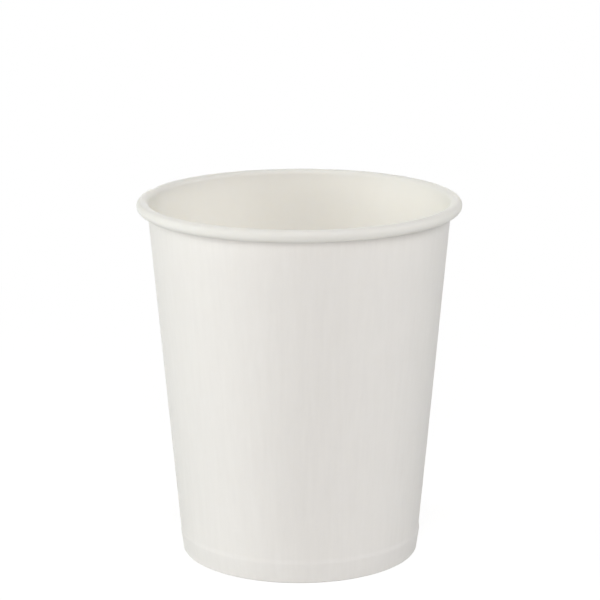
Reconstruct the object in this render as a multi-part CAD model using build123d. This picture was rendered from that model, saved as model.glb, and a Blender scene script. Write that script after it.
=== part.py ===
from build123d import *
from build123d.topology import SkipClean
import math
import os

# A single-wall paper cup for hot drinks. The foot stands on z = 0 and the cup's axis is Z.
# Two blanks of coated board: the side wall, rolled into a cone with a lapped seam, and the bottom disc.

# Driving dimensions, in millimetres and degrees
rim_diameter = 80.0  # outside of the rolled rim, the size that a lid snaps over
cup_height = 89.5  # from the foot to the top of the rim
foot_diameter = 59.0  # outside of the wall, carried down to the foot plane
roll_width = 2.95  # across the rim roll, seen in section
wall_board = 0.36  # thickness of the wall's coated board
bottom_board = 0.32  # thickness of the bottom's coated board
recess_depth = 6.0  # from the foot up to the underside of the bottom
hem_height = 5.0  # from the foot up to the free edge of the turned-in hem
skirt_end_height = 1.1  # from the foot up to the free edge of the bottom's skirt
skirt_bend_radius = 0.9  # outside of the bend where the bottom turns down into its skirt
seal_film = 0.02  # melted film on each side of the skirt
foot_press = 0.1  # how much of the fold is pressed flat where the cup stands
seam_lap = 7.0  # width of the lapped seam, measured round the foot
seam_step = 7.0  # length round the foot in which the outer layer climbs over the inner one
seam_azimuth = 163.0  # where the inner layer's cut edge lies, from +X towards +Y
climb_stations = 6  # sections that the climb is shaped through

# The rim roll: a wide bend over the top and round the outside, then a tighter one tucked up inside
roll_outer_turn = 230.0
roll_tuck_turn = 190.0
roll_tuck_clearance = 0.03  # between the tucked edge and the seam's outer layer

# What follows from them: the wall's outside face is the guide that every bend of the wall is measured from
rim_radius = rim_diameter / 2
foot_radius = foot_diameter / 2
roll_radius = roll_width / 2
roll_guide_radius = roll_radius - wall_board
roll_centre_radius = rim_radius - roll_radius
roll_centre_height = cup_height - roll_radius
skirt_slot = bottom_board + 2 * seal_film
fold_guide_radius = skirt_slot / 2 + wall_board

# The wall leans out from the foot until its outside face is tangent to the roll's guide circle
roll_offset = roll_centre_radius - foot_radius
roll_distance = math.hypot(roll_offset, roll_centre_height)
lean = math.atan2(roll_offset, roll_centre_height) - math.asin(roll_guide_radius / roll_distance)
lean_degrees = math.degrees(lean)


def wall_radius(height, depth=0.0):
    """Radius at a height of the face that lies a depth inside the wall's outside face."""
    return foot_radius + height * math.tan(lean) - depth / math.cos(lean)


class Bend:
    """A bend of the board: the radius of its guide line, and the turn in degrees, positive to the right."""

    def __init__(self, radius, turn):
        self.radius = radius
        self.turn = turn


def beside(start, heading, steps, left):
    """Edges of the line that keeps a distance to the left of a guide made of straight runs and bends.

    The guide lies in the XZ plane. The heading is in degrees, from +X towards +Z.
    """
    x, z = start
    edges = []
    for step in steps:
        angle = math.radians(heading)
        left_x = -math.sin(angle)
        left_z = math.cos(angle)
        begin = Vector(x + left * left_x, 0, z + left * left_z)
        if isinstance(step, Bend):
            side = 1 if step.turn > 0 else -1
            centre_x = x - side * step.radius * left_x
            centre_z = z - side * step.radius * left_z
            reach = step.radius + side * left
            half = math.radians(heading + side * 90 - step.turn / 2)
            last = math.radians(heading + side * 90 - step.turn)
            middle = Vector(centre_x + reach * math.cos(half), 0, centre_z + reach * math.sin(half))
            end = Vector(centre_x + reach * math.cos(last), 0, centre_z + reach * math.sin(last))
            edges.append(Edge.make_three_point_arc(begin, middle, end))
            x = centre_x + step.radius * math.cos(last)
            z = centre_z + step.radius * math.sin(last)
            heading -= step.turn
        else:
            x += step * math.cos(angle)
            z += step * math.sin(angle)
            edges.append(Edge.make_line(begin, Vector(x + left * left_x, 0, z + left * left_z)))
    return edges


def board_section(start, heading, steps, left_from, left_to):
    """The cut face of a strip of board that follows a guide, between two distances to its left."""
    near = beside(start, heading, steps, left_from)
    far = beside(start, heading, steps, left_to)
    first_cut = Edge.make_line(near[0] @ 0, far[0] @ 0)
    last_cut = Edge.make_line(near[-1] @ 1, far[-1] @ 1)
    return Face(Wire(near + [last_cut] + far + [first_cut]))


def wall_section(outside, inside):
    """The wall's cut face, between two depths measured outward and inward from the guide.

    The guide runs from the hem's free edge down to the fold, up the wall and round the rim roll. What lies
    outside it wraps round the fold, so the fold is raised by as much and its bottom stays level.
    """
    across_r = math.cos(lean)
    across_z = -math.sin(lean)
    fold_height = fold_guide_radius + outside - foot_press
    fold_centre = (wall_radius(fold_height, fold_guide_radius), fold_height)
    hem_run = (hem_height - fold_height) / math.cos(lean)
    hem_edge = (
        fold_centre[0] - fold_guide_radius * across_r + hem_run * math.sin(lean),
        fold_centre[1] - fold_guide_radius * across_z + hem_run * math.cos(lean),
    )
    wall_bottom = (
        fold_centre[0] + fold_guide_radius * across_r,
        fold_centre[1] + fold_guide_radius * across_z,
    )
    wall_top = (
        roll_centre_radius - roll_guide_radius * across_r,
        roll_centre_height - roll_guide_radius * across_z,
    )
    # the tuck is tighter by as much as keeps it clear of both layers of board at the seam
    tuck_room = 2 * wall_board + roll_tuck_clearance
    tuck_radius = roll_guide_radius - tuck_room / (1 - math.cos(math.radians(roll_outer_turn)))
    steps = [
        hem_run,
        Bend(fold_guide_radius, -180),
        math.dist(wall_bottom, wall_top),
        Bend(roll_guide_radius, roll_outer_turn),
        Bend(tuck_radius, roll_tuck_turn),
    ]
    return board_section(hem_edge, 270 - lean_degrees, steps, -outside, inside)


def make_sidewall():
    """The wall's blank, once round, with its outer layer climbing over the inner one at the seam."""
    lap_angle = math.degrees(seam_lap / foot_radius)
    step_angle = math.degrees(seam_step / foot_radius)
    lapped = revolve(wall_section(wall_board, wall_board), Axis.Z, lap_angle)
    once_round = revolve(wall_section(0, wall_board), Axis.Z, 360 - lap_angle - step_angle)
    climbing = []
    for station in range(climb_stations + 1):
        share = station / climb_stations
        lift = wall_board * (1 - math.cos(math.pi * share)) / 2
        climbing.append(Rot(Z=-step_angle * (1 - share)) * wall_section(lift, wall_board - lift))
    with SkipClean():
        rolled = Rot(Z=lap_angle) * once_round + lapped + loft(climbing)
        # the fold is pressed level, so that the cup stands on a flat ring
        standing = split(rolled, Plane.XY, keep=Keep.TOP)
    return Rot(Z=seam_azimuth) * standing


def make_bottom_disc():
    """The bottom's blank: a flat disc whose edge turns down, beside the wall and into the fold."""
    skirt_depth = wall_board + seal_film
    top_height = recess_depth + bottom_board
    turn = 90 + lean_degrees
    bend_reach = skirt_bend_radius * math.tan(math.radians(turn / 2))
    floor_run = wall_radius(top_height, skirt_depth) - bend_reach
    skirt_run = (top_height - skirt_end_height) / math.cos(lean) - bend_reach
    steps = [floor_run, Bend(skirt_bend_radius, turn), skirt_run]
    section = board_section((0, top_height), 0, steps, -bottom_board, 0)
    return revolve(section, Axis.Z, 360)


os.makedirs("parts", exist_ok=True)
export_step(make_sidewall(), "parts/sidewall.step")
export_step(make_bottom_disc(), "parts/bottom_disc.step")
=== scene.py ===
import math

import bpy
import numpy as np
from mathutils import Euler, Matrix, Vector


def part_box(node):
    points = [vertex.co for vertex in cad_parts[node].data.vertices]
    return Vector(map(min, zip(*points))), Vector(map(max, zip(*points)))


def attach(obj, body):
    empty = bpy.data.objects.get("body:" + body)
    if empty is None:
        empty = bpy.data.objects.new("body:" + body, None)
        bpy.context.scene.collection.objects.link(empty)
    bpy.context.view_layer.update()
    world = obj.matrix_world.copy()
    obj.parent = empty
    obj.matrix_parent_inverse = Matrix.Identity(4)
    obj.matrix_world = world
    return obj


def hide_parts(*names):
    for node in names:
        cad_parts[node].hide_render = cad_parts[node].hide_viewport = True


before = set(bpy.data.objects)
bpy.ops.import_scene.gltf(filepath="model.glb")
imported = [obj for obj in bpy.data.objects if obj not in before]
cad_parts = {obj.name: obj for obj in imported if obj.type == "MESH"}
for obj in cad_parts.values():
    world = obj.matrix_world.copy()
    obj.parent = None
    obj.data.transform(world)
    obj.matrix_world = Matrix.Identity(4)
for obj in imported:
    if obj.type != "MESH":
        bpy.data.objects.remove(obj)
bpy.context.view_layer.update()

# A single-wall paper cup in metres, standing on z = 0 with its axis on Z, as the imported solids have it.
# The wall is one blank of coated board, rolled into a cone; the bottom is another, with its edge turned down.
MM = 0.001
_, wall_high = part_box("sidewall")
disc_low, disc_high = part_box("bottom_disc")

# Sizes of the board and its bends
RIM_RADIUS = wall_high.x
CUP_HEIGHT = wall_high.z
FLOOR_TOP = disc_high.z
SKIRT_END = disc_low.z
FOOT_RADIUS = 29.5 * MM
ROLL_RADIUS = 1.475 * MM
WALL_BOARD = 0.36 * MM
BOTTOM_BOARD = 0.32 * MM
HEM_TOP = 5.0 * MM
SKIRT_BEND = 0.9 * MM
SEAL_FILM = 0.02 * MM
FOOT_PRESS = 0.1 * MM
ROLL_OUTER_TURN = 230.0
ROLL_TUCK_TURN = 190.0
TUCK_CLEARANCE = 0.03 * MM

# The lapped seam, where the end of the blank climbs over its start
SEAM_LAP = 7.0 * MM
SEAM_STEP = 7.0 * MM
SEAM_AZIMUTH = 163.0

# The inside of the fold stays this high over z = 0, and above the other height the wall is clear of its fold
FOLD_INSIDE = 0.12 * MM
FOLD_TOP = 0.6 * MM

# The wall stands out under a ledge that the clamped skirt leaves: how far, its height and half its width
LEDGE = 0.25 * MM
LEDGE_HEIGHT = 5.5 * MM
LEDGE_SLOPE = 0.45 * MM

# The teeth that the pressing wheel leaves inside the hem: how many round it, how deep, between which heights,
# and the height over which they fade
KNURLS = 100
KNURL_DEPTH = 0.06 * MM
KNURL_LOW = 0.9 * MM
KNURL_HIGH = HEM_TOP - 0.3 * MM
KNURL_FADE = 0.6 * MM

# The wall is a little uneven, with faint flats of the mandrel and slow waves: their depths, the fewest and
# most that go round, how many such waves are summed, and the angles in radians at which the slow ones start
# at the foot and by which they turn up to the rim. Both kinds fade out towards the hem and the rim.
FLAT_DEPTH = 0.006 * MM
FLAT_COUNTS = (24, 58)
FLATS_SUMMED = 9
WAVE_DEPTH = 0.035 * MM
WAVE_COUNTS = (3, 9)
WAVES_SUMMED = 6
WAVE_START = 0.6
WAVE_TURN = 4.0
UNEVEN_TOP = CUP_HEIGHT - 3 * ROLL_RADIUS
UNEVEN_FADE = 14 * MM

# The bottom sinks a little towards its middle, from an edge on, and has a crease near its bend. Both places
# are shares of its straight run.
SINK_DEPTH = 0.22 * MM
SINK_EDGE = 0.93
CREASE_DEPTH = 0.05 * MM
CREASE_PLACE = 0.94
CREASE_WIDTH = 0.5 * MM

# The fine pleats in the bend of the bottom: as for the flats, and the rows of the mesh over which they fade
PLEAT_DEPTH = 0.018 * MM
PLEAT_COUNTS = (70, 130)
PLEATS_SUMMED = 7
PLEAT_ROWS = 6.0

# Sizes that follow from those above
GUIDE_RADIUS = ROLL_RADIUS - WALL_BOARD
ROLL_CENTRE_R = RIM_RADIUS - ROLL_RADIUS
ROLL_CENTRE_Z = CUP_HEIGHT - ROLL_RADIUS
FOLD_RADIUS = BOTTOM_BOARD / 2 + SEAL_FILM + WALL_BOARD
ROLL_OFFSET = ROLL_CENTRE_R - FOOT_RADIUS
ROLL_DISTANCE = math.hypot(ROLL_OFFSET, ROLL_CENTRE_Z)
LEAN = math.atan2(ROLL_OFFSET, ROLL_CENTRE_Z) - math.asin(GUIDE_RADIUS / ROLL_DISTANCE)

# How fine the meshes are: columns round the axis, rows in the bottom and its bend, and the height up to
# which the wall has finer rows, for its ledge. Edges sharper than the angle are shaded as edges.
ROUND_STEPS = 580
DISC_STEPS = 540
DISC_ROWS = 40
BEND_ROWS = 10
BAND_TOP = HEM_TOP + 1.5 * MM
SHARP_ANGLE = math.radians(50)

# The one source of random numbers
RNG = np.random.default_rng(7)

# The materials of a sheet, by number
OUTER_FACE, INNER_FACE, CUT_EDGE = range(3)


def wall_radius(height, depth=0.0):
    """Radius at a height of the face that lies a depth inside the wall's outside face."""
    return FOOT_RADIUS + height * math.tan(LEAN) - depth / math.cos(LEAN)


def ease(x, low, high):
    """0 below low, 1 above high and a smooth climb between them."""
    t = np.clip((x - low) / (high - low), 0.0, 1.0)
    return t * t * (3 - 2 * t)


def window(x, low, high, soft):
    """1 between low and high, with soft shoulders inside them."""
    return ease(x, low, low + soft) * (1 - ease(x, high - soft, high))


def ripple(angle, counts, summed):
    """A smooth, closed wobble round the axis: a sum of waves, each with its own count, share and phase."""
    total = np.zeros_like(angle)
    for count in RNG.integers(counts[0], counts[1] + 1, summed):
        total += RNG.uniform(0.5, 1.0) * np.sin(count * angle + RNG.uniform(0, 2 * math.pi))
    return total / math.sqrt(summed)


class Run:
    """A straight stretch of a guide, with how many steps it is drawn in."""

    def __init__(self, length, steps):
        self.length = length
        self.steps = steps


class Bend:
    """A round stretch of a guide: its radius, its turn in degrees, positive to the right, and its steps."""

    def __init__(self, radius, turn, steps):
        self.radius = radius
        self.turn = math.radians(turn)
        self.steps = steps


def walk(start, heading, stretches):
    """Points (r, z) along a guide, the direction to their left, and the stretch that each belongs to."""
    r, z = start
    points = [(r, z)]
    lefts = [(-math.sin(heading), math.cos(heading))]
    owners = [0]
    for owner, stretch in enumerate(stretches):
        left = (-math.sin(heading), math.cos(heading))
        for step in range(1, stretch.steps + 1):
            share = step / stretch.steps
            if isinstance(stretch, Run):
                ahead = heading
                point = (r + share * stretch.length * left[1], z - share * stretch.length * left[0])
            else:
                ahead = heading - share * stretch.turn
                reach = math.copysign(1.0, stretch.turn) * stretch.radius
                point = (r - reach * (left[0] + math.sin(ahead)), z - reach * (left[1] - math.cos(ahead)))
            points.append(point)
            lefts.append((-math.sin(ahead), math.cos(ahead)))
            owners.append(owner)
        r, z = points[-1]
        heading = ahead
    return np.array(points), np.array(lefts), np.array(owners)


class Face:
    """One side of a closed sheet: its points, with rows along the section and columns round the axis.

    A column may lie where an earlier one does, and one gap between columns may be the board's cut edge.
    """

    def __init__(self, points, material, same=None, cut=None):
        self.points = points
        self.material = material
        self.same = same
        self.cut = cut

    def grid(self, first, pointed):
        """Vertex numbers by row and column, from the first one on, with the first column again at the end."""
        rows, columns, _ = self.points.shape
        grid = first + np.arange(rows * columns).reshape(rows, columns)
        if self.same:
            earlier, later = self.same
            grid[:, later] = grid[:, earlier]
        grid = np.concatenate([grid, grid[:, :1]], axis=1)
        if pointed:
            grid[0, :] = grid[0, 0]
        return grid


def placed(name, data):
    """A new object in the scene, for a mesh, a light or a camera."""
    made = bpy.data.objects.new(name, data)
    bpy.context.scene.collection.objects.link(made)
    return made


def shell_mesh(name, outer, inner, pointed, materials):
    """A sheet of board as a closed mesh, from its two faces. A pointed one starts from a single point."""
    count = outer.points.shape[0] * outer.points.shape[1]
    grids = [outer.grid(0, pointed), inner.grid(count, pointed)]
    polygons = []
    wears = []
    for face, grid, turned in ((outer, grids[0], 1), (inner, grids[1], -1)):
        corners = [grid[:-1, :-1], grid[1:, :-1], grid[1:, 1:], grid[:-1, 1:]]
        quads = np.stack(corners[::turned], axis=-1)
        wear = np.full(quads.shape[:2], face.material)
        if face.cut is not None:
            wear[:, face.cut] = CUT_EDGE
        polygons.append(quads.reshape(-1, 4))
        wears.append(wear.ravel())
    ends = [(grids[0][-1, ::-1], grids[1][-1, ::-1])]
    if not pointed:
        ends.append((grids[0][0], grids[1][0]))
    for near, far in ends:
        polygons.append(np.stack([near[:-1], near[1:], far[1:], far[:-1]], axis=-1))
        wears.append(np.full(len(near) - 1, CUT_EDGE))

    # corners that fall together count once, and a face left with two of them is none
    faces = [tuple(dict.fromkeys(corners)) for corners in np.concatenate(polygons).tolist()]
    whole = [len(corners) > 2 for corners in faces]
    vertices = np.concatenate([outer.points.reshape(-1, 3), inner.points.reshape(-1, 3)])
    mesh = bpy.data.meshes.new(name)
    mesh.from_pydata(vertices.tolist(), [], [corners for corners, kept in zip(faces, whole) if kept])
    for material in materials:
        mesh.materials.append(material)
    mesh.polygons.foreach_set("material_index", np.concatenate(wears)[whole].astype(np.int32))
    mesh.polygons.foreach_set("use_smooth", np.ones(sum(whole), bool))
    mesh.validate()
    mesh.set_sharp_from_angle(angle=SHARP_ANGLE)
    return placed(name, mesh)


def round_axis(r, z, azimuth):
    """Points in space from radius, height and azimuth, all of one shape."""
    return np.stack([r * np.cos(azimuth), r * np.sin(azimuth), z], axis=-1)


def wall_guide(raised):
    """The wall's outside face in section, with its fold raised by what lies beneath it."""
    across = (math.cos(LEAN), -math.sin(LEAN))
    fold_height = FOLD_RADIUS + raised - FOOT_PRESS
    fold_centre = (wall_radius(fold_height, FOLD_RADIUS), fold_height)
    hem_run = (HEM_TOP - fold_height) / math.cos(LEAN)
    hem_edge = (
        fold_centre[0] - FOLD_RADIUS * across[0] + hem_run * math.sin(LEAN),
        fold_centre[1] - FOLD_RADIUS * across[1] + hem_run * math.cos(LEAN),
    )
    wall_bottom = (fold_centre[0] + FOLD_RADIUS * across[0], fold_centre[1] + FOLD_RADIUS * across[1])
    wall_top = (ROLL_CENTRE_R - GUIDE_RADIUS * across[0], ROLL_CENTRE_Z - GUIDE_RADIUS * across[1])
    wall_run = math.dist(wall_bottom, wall_top)
    band_run = BAND_TOP / math.cos(LEAN)
    tuck_room = 2 * WALL_BOARD + TUCK_CLEARANCE
    tuck_radius = GUIDE_RADIUS - tuck_room / (1 - math.cos(math.radians(ROLL_OUTER_TURN)))
    stretches = [
        Run(hem_run, steps=8),
        Bend(FOLD_RADIUS, turn=-180, steps=10),
        Run(band_run, steps=18),
        Run(wall_run - band_run, steps=16),
        Bend(GUIDE_RADIUS, turn=ROLL_OUTER_TURN, steps=20),
        Bend(tuck_radius, turn=ROLL_TUCK_TURN, steps=10),
    ]
    down = math.radians(270)
    return walk(hem_edge, down - LEAN, stretches)


# The stretches of the wall's guide that have a relief: the hem, and the wall in two parts
HEM, BAND, WALL = 0, 2, 3


def unevenness(height, azimuth):
    """Faint flats left by the mandrel, and slow waves of a board that never lies quite true."""
    flats = FLAT_DEPTH * ripple(azimuth, FLAT_COUNTS, FLATS_SUMMED)
    turning = np.sin(height / CUP_HEIGHT * WAVE_TURN + WAVE_START)
    waves = WAVE_DEPTH * ripple(azimuth, WAVE_COUNTS, WAVES_SUMMED) * turning
    return window(height, HEM_TOP, UNEVEN_TOP, UNEVEN_FADE) * (flats + waves)


def hem_ledge(height):
    """How far the wall stands out at the hem, which is pressed from inside, up to the soft ledge over it."""
    start = LEDGE_HEIGHT - LEDGE_SLOPE
    rise = np.clip((height - FOLD_TOP) / (start - FOLD_TOP), 0.0, 1.0)
    return LEDGE * rise * (1 - ease(height, start, LEDGE_HEIGHT + LEDGE_SLOPE))


def hem_knurl(height, azimuth):
    """The knurl of the pressing wheel, on the face of the hem that looks at the axis."""
    teeth = 0.5 + 0.5 * np.cos(azimuth * KNURLS)
    return KNURL_DEPTH * teeth * window(height, KNURL_LOW, KNURL_HIGH, KNURL_FADE)


def make_wall(materials):
    """The wall's blank: once round and over its own start, with its hem, its fold and its rolled rim.

    The seam is sealed, so its two layers are one thickness of board there.
    """
    full = 2 * math.pi
    lap = SEAM_LAP / FOOT_RADIUS
    climb = SEAM_STEP / FOOT_RADIUS
    lap_steps = round(ROUND_STEPS * lap / full)
    doubled = np.linspace(0, lap, lap_steps + 1)
    single = np.linspace(lap, full, ROUND_STEPS - lap_steps + 1)
    turn = np.concatenate([doubled, single])
    azimuth = math.radians(SEAM_AZIMUTH) + turn[None, :]

    # the end of the blank lifts by one board, and the fold is raised where two boards lie in it
    lift = WALL_BOARD * ease(turn, full - climb, full)
    raised = WALL_BOARD * (1 - ease(turn, lap, lap + climb / 2)) + lift
    level, left, owner = wall_guide(0.0)
    lifted, _, _ = wall_guide(WALL_BOARD)
    share = (raised / WALL_BOARD)[None, :]
    middle = level[:, None, :] + (lifted - level)[:, None, :] * share[:, :, None]
    height = middle[:, :, 1]

    # the ledge fades out at the seam, where the doubled board is stiff
    clear_of_seam = ease(turn, lap, lap + climb) * (1 - ease(turn, full - climb, full))
    is_wall = ((owner == BAND) | (owner == WALL))[:, None]
    out = (unevenness(height, azimuth) + hem_ledge(height) * clear_of_seam) * is_wall
    pressed = hem_knurl(height, azimuth) * (owner == HEM)[:, None]

    over = np.where(np.arange(len(turn)) <= lap_steps, WALL_BOARD, lift)
    points = []
    for depth, dent, lowest in ((-over, pressed, 0.0), (WALL_BOARD - lift, 0.0, FOLD_INSIDE)):
        offset = depth[None, :] + dent - out
        r = middle[:, :, 0] + left[:, None, 0] * offset
        z = np.maximum(height + left[:, None, 1] * offset, lowest)
        points.append(round_axis(r, z, np.broadcast_to(azimuth, r.shape)))
    last = len(turn) - 1
    outer = Face(points[0], OUTER_FACE, same=(0, last), cut=lap_steps)
    inner = Face(points[1], INNER_FACE, same=(lap_steps, lap_steps + 1), cut=last)
    return shell_mesh("rolled_wall", outer, inner, False, materials)


def make_bottom(materials):
    """The bottom's blank: a disc, hardly sunk, whose edge turns down in fine pleats into the skirt."""
    turn = math.pi / 2 + LEAN
    reach = SKIRT_BEND * math.tan(turn / 2)
    disc_run = wall_radius(FLOOR_TOP, WALL_BOARD + SEAL_FILM) - reach
    skirt_run = (FLOOR_TOP - SKIRT_END) / math.cos(LEAN) - reach
    stretches = [
        Run(disc_run, steps=DISC_ROWS),
        Bend(SKIRT_BEND, turn=math.degrees(turn), steps=BEND_ROWS),
        Run(skirt_run, steps=8),
    ]
    guide, left, owner = walk((0.0, FLOOR_TOP), 0.0, stretches)
    azimuth = np.linspace(0, 2 * math.pi, DISC_STEPS, endpoint=False)[None, :]
    r = guide[:, :1]
    sink = -SINK_DEPTH * (1 - ease(r, 0.0, disc_run * SINK_EDGE))
    crease = -CREASE_DEPTH * np.exp(-(((r - disc_run * CREASE_PLACE) / CREASE_WIDTH) ** 2))
    sag = (sink + crease) * (owner == 0)[:, None]
    row = np.arange(len(guide))[:, None]
    bend_middle = DISC_ROWS + BEND_ROWS / 2
    pleating = np.exp(-(((row - bend_middle) / PLEAT_ROWS) ** 2))
    pleats = PLEAT_DEPTH * pleating * ripple(azimuth, PLEAT_COUNTS, PLEATS_SUMMED)
    points = []
    for depth, pleat in ((0.0, np.abs(pleats)), (BOTTOM_BOARD, 0.0 * pleats)):
        offset = -depth - pleat
        radius = r + left[:, :1] * offset
        z = guide[:, 1:] + left[:, 1:] * offset + sag
        points.append(round_axis(radius, z, np.broadcast_to(azimuth, offset.shape)))
    outer = Face(points[0], OUTER_FACE)
    inner = Face(points[1], INNER_FACE)
    return shell_mesh("pressed_bottom", outer, inner, True, materials)


class Link:
    """A node's output, on which shader maths is written as plain sums."""

    def __init__(self, finish, socket):
        self.finish = finish
        self.socket = socket

    def maths(self, operation, first, second):
        return self.finish.node("ShaderNodeMath", {"operation": operation}, {0: first, 1: second})["Value"]

    def __add__(self, other):
        return self.maths("ADD", self, other)

    def __sub__(self, other):
        return self.maths("SUBTRACT", self, other)

    def __rsub__(self, other):
        return self.maths("SUBTRACT", other, self)

    def __mul__(self, other):
        return self.maths("MULTIPLY", self, other)

    __radd__ = __add__
    __rmul__ = __mul__


class Finish:
    """A node tree in the making, for one material or for the world."""

    def __init__(self, owner):
        owner.use_nodes = True
        self.owner = owner
        self.tree = owner.node_tree
        self.tree.nodes.clear()

    def node(self, kind, settings=None, values=None):
        """Adds a node: its settings first, then the values or links of its inputs. Gives its outputs by name.

        An input goes by its name, or by its number where two have the same name. Both count only the sockets
        that the node's settings leave in use.
        """
        made = self.tree.nodes.new(kind)
        for name, setting in (settings or {}).items():
            setattr(made, name, setting)
        inputs = [socket for socket in made.inputs if socket.enabled]
        by_key = {socket.name: socket for socket in inputs} | dict(enumerate(inputs))
        for key, value in (values or {}).items():
            if isinstance(value, Link):
                self.tree.links.new(value.socket, by_key[key])
            else:
                by_key[key].default_value = value
        return {socket.name: Link(self, socket) for socket in made.outputs if socket.enabled}

    def noise(self, place, scale, detail, roughness, distortion=0.0):
        """Noise from 0 to 1, whose grains are about 1 / scale metres across."""
        values = {
            "Vector": place,
            "Scale": scale,
            "Detail": detail,
            "Roughness": roughness,
            "Distortion": distortion,
        }
        return self.node("ShaderNodeTexNoise", {}, values)["Fac"]

    def stretched(self, place, along):
        """The place with its height multiplied, so that a pattern runs up and down the wall."""
        settings = {"operation": "MULTIPLY"}
        return self.node("ShaderNodeVectorMath", settings, {0: place, 1: (1.0, 1.0, along)})["Vector"]

    def blend(self, share, dark, light):
        """A colour between a dark and a light one, by a share from 0 to 1."""
        values = {"Factor": share, "A": (*dark, 1.0), "B": (*light, 1.0)}
        return self.node("ShaderNodeMix", {"data_type": "RGBA"}, values)["Result"]

    def place(self):
        """The place on the piece, in metres."""
        return self.node("ShaderNodeTexCoord")["Object"]

    def surface(self, shader):
        """Puts a shader on the surface, and gives the finished material."""
        self.node("ShaderNodeOutputMaterial", {}, {"Surface": shader})
        return self.owner


# How light soaks through the board: the share of it that does on each side, its reach by colour, and the
# scale of that reach
OUTSIDE_GLOW = 0.10
FILM_GLOW = 0.36
GLOW_REACH = (1.0, 0.9, 0.75)
GLOW_SCALE = 1.5 * MM


def board_surface(finish, colour, roughness, gloss, relief, strength, depth, glow=0.0):
    """One side of a board: its colour and gloss, its fine relief, and the share of light that soaks in."""
    bump = finish.node("ShaderNodeBump", {}, {"Strength": strength, "Distance": depth, "Height": relief})
    shader = finish.node("ShaderNodeBsdfPrincipled", {}, {
        "Base Color": colour,
        "Roughness": roughness,
        "Specular IOR Level": gloss,
        "Subsurface Weight": glow,
        "Subsurface Radius": GLOW_REACH,
        "Subsurface Scale": GLOW_SCALE,
        "Normal": bump["Normal"],
    })
    return finish.surface(shader["BSDF"])


def board_outside():
    """Smooth white board: hardly clouded, with fine fibre and faint streaks along the height."""
    finish = Finish(bpy.data.materials.new("white_board"))
    place = finish.place()
    upright = finish.stretched(place, along=0.03)
    drawn_out = finish.stretched(place, along=0.35)
    cloud = finish.noise(place, scale=140.0, detail=3.0, roughness=0.55)
    flock = finish.noise(place, scale=900.0, detail=4.0, roughness=0.6, distortion=0.4)
    streak = finish.noise(upright, scale=800.0, detail=3.0, roughness=0.65)
    tooth = finish.noise(drawn_out, scale=5200.0, detail=2.0, roughness=0.6, distortion=0.6)
    tint = cloud * 0.2 + flock * 0.15 + streak * 0.65
    return board_surface(
        finish,
        colour=finish.blend(tint, dark=(0.842, 0.825, 0.804), light=(0.933, 0.917, 0.896)),
        roughness=0.58 + flock * 0.10,
        gloss=0.08,
        relief=tooth * 0.35 + flock * 0.9 + cloud * 1.2,
        strength=0.35,
        depth=0.02 * MM,
        glow=OUTSIDE_GLOW,
    )


def film_inside():
    """The film-coated side: warmer, a little glossier, with a soft orange-peel over the board's streaks."""
    finish = Finish(bpy.data.materials.new("film_coated_board"))
    place = finish.place()
    upright = finish.stretched(place, along=0.04)
    cloud = finish.noise(place, scale=110.0, detail=3.0, roughness=0.55)
    peel = finish.noise(place, scale=620.0, detail=2.0, roughness=0.5)
    streak = finish.noise(upright, scale=380.0, detail=3.0, roughness=0.6)
    tint = cloud * 0.45 + peel * 0.2 + streak * 0.35
    return board_surface(
        finish,
        colour=finish.blend(tint, dark=(0.94, 0.91, 0.845), light=(0.965, 0.945, 0.89)),
        roughness=0.46 + peel * 0.10,
        gloss=0.15,
        relief=peel + streak * 0.5,
        strength=0.3,
        depth=0.02 * MM,
        glow=FILM_GLOW,
    )


def cut_edge():
    """The board's cut edge: bare fibre in thin layers, creamier than the faces."""
    finish = Finish(bpy.data.materials.new("cut_board_edge"))
    place = finish.place()
    fibre = finish.noise(place, scale=6500.0, detail=4.0, roughness=0.65, distortion=0.8)
    cloud = finish.noise(place, scale=700.0, detail=2.0, roughness=0.5)
    tint = fibre * 0.7 + cloud * 0.3
    return board_surface(
        finish,
        colour=finish.blend(tint, dark=(0.76, 0.72, 0.64), light=(0.86, 0.83, 0.77)),
        roughness=0.85,
        gloss=0.3,
        relief=fibre,
        strength=0.6,
        depth=0.03 * MM,
    )


def board_beneath():
    """The plain underside of the bottom: uncoated board, rougher and with more fibre showing."""
    finish = Finish(bpy.data.materials.new("bare_board"))
    place = finish.place()
    cloud = finish.noise(place, scale=160.0, detail=4.0, roughness=0.6)
    fibre = finish.noise(place, scale=2600.0, detail=4.0, roughness=0.65, distortion=1.2)
    tint = cloud * 0.5 + fibre * 0.5
    return board_surface(
        finish,
        colour=finish.blend(tint, dark=(0.74, 0.715, 0.66), light=(0.84, 0.82, 0.775)),
        roughness=0.72,
        gloss=0.35,
        relief=fibre + cloud,
        strength=0.5,
        depth=0.03 * MM,
    )


def seen_directly(finish):
    """1 for what the camera sees, itself or in a gloss or through glass, and 0 for light on its way."""
    path = finish.node("ShaderNodeLightPath")
    total = path["Is Camera Ray"] + path["Is Glossy Ray"] + path["Is Transmission Ray"]
    return finish.node("ShaderNodeMath", {"operation": "MINIMUM"}, {0: total, 1: 1.0})["Value"]


# The floor is white paper, and light on its way meets it as a grey. Round the cup the camera sees a darker
# grey that also glows, so that only a faint shadow shows. Farther from the cup it fades to plain white.
FLOOR_REACH = 3.0
FLOOR_SIDES = 64
PAPER_GREY = (0.8, 0.8, 0.8, 1.0)
SHADED_GREY = (0.25, 0.25, 0.25, 1.0)
SHADED_GLOW = 0.84
SHADE_START = 0.08
SHADE_END = 0.30
WHITE = (1.0, 1.0, 1.0, 1.0)


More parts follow.
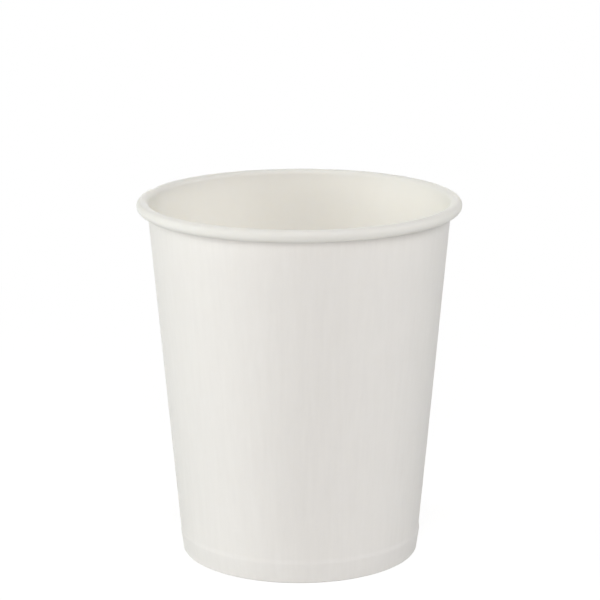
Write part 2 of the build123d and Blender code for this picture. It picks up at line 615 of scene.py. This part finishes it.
def floor_finish():
    """White paper sweep: it shows as white, and keeps a faint shadow round the object."""
    finish = Finish(bpy.data.materials.new("white_sweep"))
    away = finish.node("ShaderNodeVectorMath", {"operation": "LENGTH"}, {0: finish.place()})["Value"]
    near = finish.node("ShaderNodeMapRange", {"interpolation_type": "SMOOTHSTEP"}, {
        "Value": away,
        "From Min": SHADE_START,
        "From Max": SHADE_END,
        "To Min": 1.0,
        "To Max": 0.0,
    })["Result"]
    paper = finish.node("ShaderNodeBsdfDiffuse", {}, {"Color": PAPER_GREY})["BSDF"]
    shade = finish.node("ShaderNodeBsdfDiffuse", {}, {"Color": SHADED_GREY})["BSDF"]
    glow = finish.node("ShaderNodeEmission", {}, {"Strength": SHADED_GLOW})["Emission"]
    close = finish.node("ShaderNodeAddShader", {}, {0: shade, 1: glow})["Shader"]
    white = finish.node("ShaderNodeEmission", {}, {"Strength": 1.0})["Emission"]
    shown = finish.node("ShaderNodeMixShader", {}, {0: near, 1: white, 2: close})["Shader"]
    mixed = finish.node("ShaderNodeMixShader", {}, {0: seen_directly(finish), 1: paper, 2: shown})
    return finish.surface(mixed["Shader"])


def make_floor():
    """A round floor of white paper, far wider than the cup."""
    ring = []
    for angle in np.linspace(0, 2 * math.pi, FLOOR_SIDES, endpoint=False):
        ring.append((FLOOR_REACH * math.cos(angle), FLOOR_REACH * math.sin(angle), 0.0))
    mesh = bpy.data.meshes.new("floor")
    mesh.from_pydata(ring, [], [tuple(range(FLOOR_SIDES))])
    mesh.materials.append(floor_finish())
    floor = placed("floor", mesh)


def make_world(strength):
    """White behind all that the camera sees, and an even light of the given strength from all round."""
    world = bpy.data.worlds.new("studio")
    bpy.context.scene.world = world
    finish = Finish(world)
    room = finish.node("ShaderNodeBackground", {}, {"Color": WHITE, "Strength": strength})
    white = finish.node("ShaderNodeBackground", {}, {"Color": WHITE, "Strength": 1.0})
    mixed = finish.node("ShaderNodeMixShader", {}, {
        0: seen_directly(finish),
        1: room["Background"],
        2: white["Background"],
    })
    finish.node("ShaderNodeOutputWorld", {}, {"Surface": mixed["Shader"]})


def facing(position, target, roll=0.0):
    """The rotation that turns an object's -Z from a position to a target."""
    direction = Vector(target) - Vector(position)
    look = direction.to_track_quat("-Z", "Y")
    return (look.to_matrix() @ Euler((0.0, 0.0, roll)).to_matrix()).to_euler()


# The soft lights are squares of one size, at one distance from the middle of the cup. Each has its azimuth
# and elevation in degrees, with azimuth 0 on the camera's side, its power in watts and its colour.
LAMP_AIM = (0.0, 0.0, 0.045)
LAMP_DISTANCE = 1.3
LAMP_SIZE = 0.7
LAMPS = {
    "key": (-85.0, 20.0, 8.3, (0.975, 1.0, 0.965)),
    "front": (0.0, 28.0, 7.8, (1.03, 1.0, 0.97)),
    "fill": (88.0, 33.0, 5.3, (0.995, 1.0, 0.99)),
    "back": (180.0, 16.0, 2.4, (1.0, 1.0, 0.98)),
    "top": (0.0, 88.0, 1.7, (1.0, 1.0, 0.99)),
}

# The strength of the even light from all round
ROOM_LIGHT = 0.09


def softbox(name, azimuth, elevation, power, colour):
    """A square soft light, placed by its direction from the cup."""
    lamp = bpy.data.lights.new(name, "AREA")
    lamp.shape = "SQUARE"
    lamp.size = LAMP_SIZE
    lamp.energy = power
    lamp.color = colour
    around = math.radians(azimuth)
    up = math.radians(elevation)
    position = (
        LAMP_AIM[0] + LAMP_DISTANCE * math.sin(around) * math.cos(up),
        LAMP_AIM[1] - LAMP_DISTANCE * math.cos(around) * math.cos(up),
        LAMP_AIM[2] + LAMP_DISTANCE * math.sin(up),
    )
    light = placed(name, lamp)
    light.location = position
    light.rotation_euler = facing(position, LAMP_AIM)


# The camera, as the cup's outline in the photograph fits it, for a frame of 600 by 600 pixels
FRAME_PIXELS = 600
LENS_PIXELS = 2458.0
SENSOR_WIDTH = 36.0
VIEW_ELEVATION = math.radians(13.64)
VIEW_DISTANCE = 0.610
AIM_HEIGHT = 63.6 * MM
AIM_RIGHT = 0.12 * MM
VIEW_ROLL = math.radians(-0.12)


def make_camera():
    """The camera on the side of -Y, looking a little down at the cup."""
    camera_data = bpy.data.cameras.new("camera")
    camera_data.sensor_width = SENSOR_WIDTH
    camera_data.lens = LENS_PIXELS / FRAME_PIXELS * SENSOR_WIDTH
    camera_data.clip_start = 0.01
    camera_data.clip_end = 20.0
    target = (AIM_RIGHT, 0.0, AIM_HEIGHT)
    position = (
        AIM_RIGHT,
        -VIEW_DISTANCE * math.cos(VIEW_ELEVATION),
        AIM_HEIGHT + VIEW_DISTANCE * math.sin(VIEW_ELEVATION),
    )
    camera = placed("camera", camera_data)
    camera.location = position
    camera.rotation_euler = facing(position, target, VIEW_ROLL)
    bpy.context.scene.camera = camera


outside = board_outside()
inside = film_inside()
edge = cut_edge()
beneath = board_beneath()

wall = make_wall([outside, inside, edge])
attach(wall, "root")
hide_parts("sidewall")

bottom = make_bottom([inside, beneath, edge])
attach(bottom, "root")
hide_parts("bottom_disc")

make_floor()
make_camera()
make_world(ROOM_LIGHT)
for lamp_name, (azimuth, elevation, power, colour) in LAMPS.items():
    softbox(lamp_name, azimuth, elevation, power, colour)

bpy.context.scene.view_settings.view_transform = "Standard"
